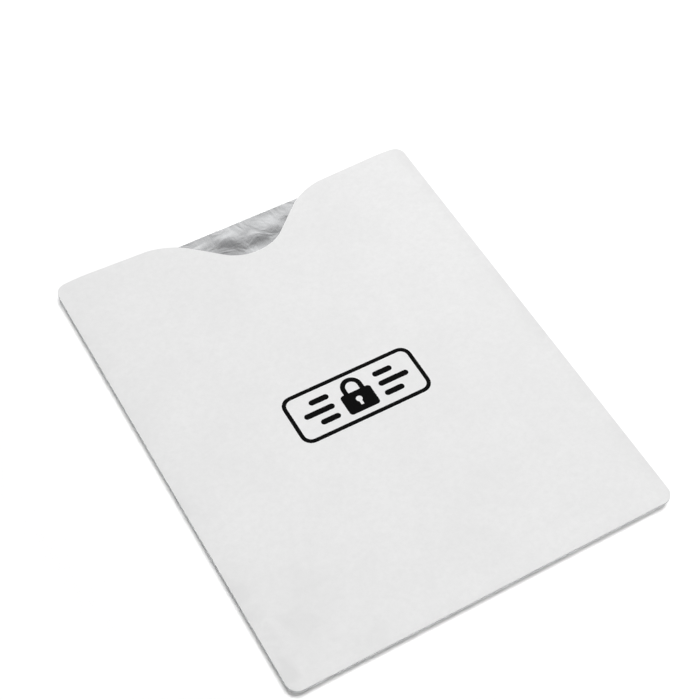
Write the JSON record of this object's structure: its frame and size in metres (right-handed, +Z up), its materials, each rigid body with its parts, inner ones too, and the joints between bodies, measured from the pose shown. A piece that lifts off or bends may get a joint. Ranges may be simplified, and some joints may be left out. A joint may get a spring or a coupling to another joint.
{
  "type": "travel document sleeve",
  "caption": "Flat white sleeve of foil-laminated paper, sealed on the sides and foot and open at the head, with a bell-shaped thumb notch; shields a travel document from radio reading.",
  "frame": {"origin": "under the middle of the sleeve, on the surface that its back wall rests on", "axes": "+X across the sleeve to the right as seen from the front, +Y along its length towards the open mouth, +Z up out of the front wall"},
  "size_m": [0.105, 0.131, 0.0052],
  "materials": {
    "white_paper": "matte coated white paper",
    "bond_film": "thin polyethylene bonding film",
    "aluminium_foil": "bright rolled aluminium foil with fine crinkles",
    "hot_melt": "set hot-melt adhesive",
    "black_ink": "matte black printing ink"
  },
  "bodies": {
    "root": {"front_paper": "white_paper", "front_bond_film": "bond_film", "front_foil": "aluminium_foil", "back_paper": "white_paper", "back_bond_film": "bond_film", "back_foil": "aluminium_foil", "left_seal": "hot_melt", "right_seal": "hot_melt", "foot_seal": "hot_melt"}
  },
  "joints": []
}
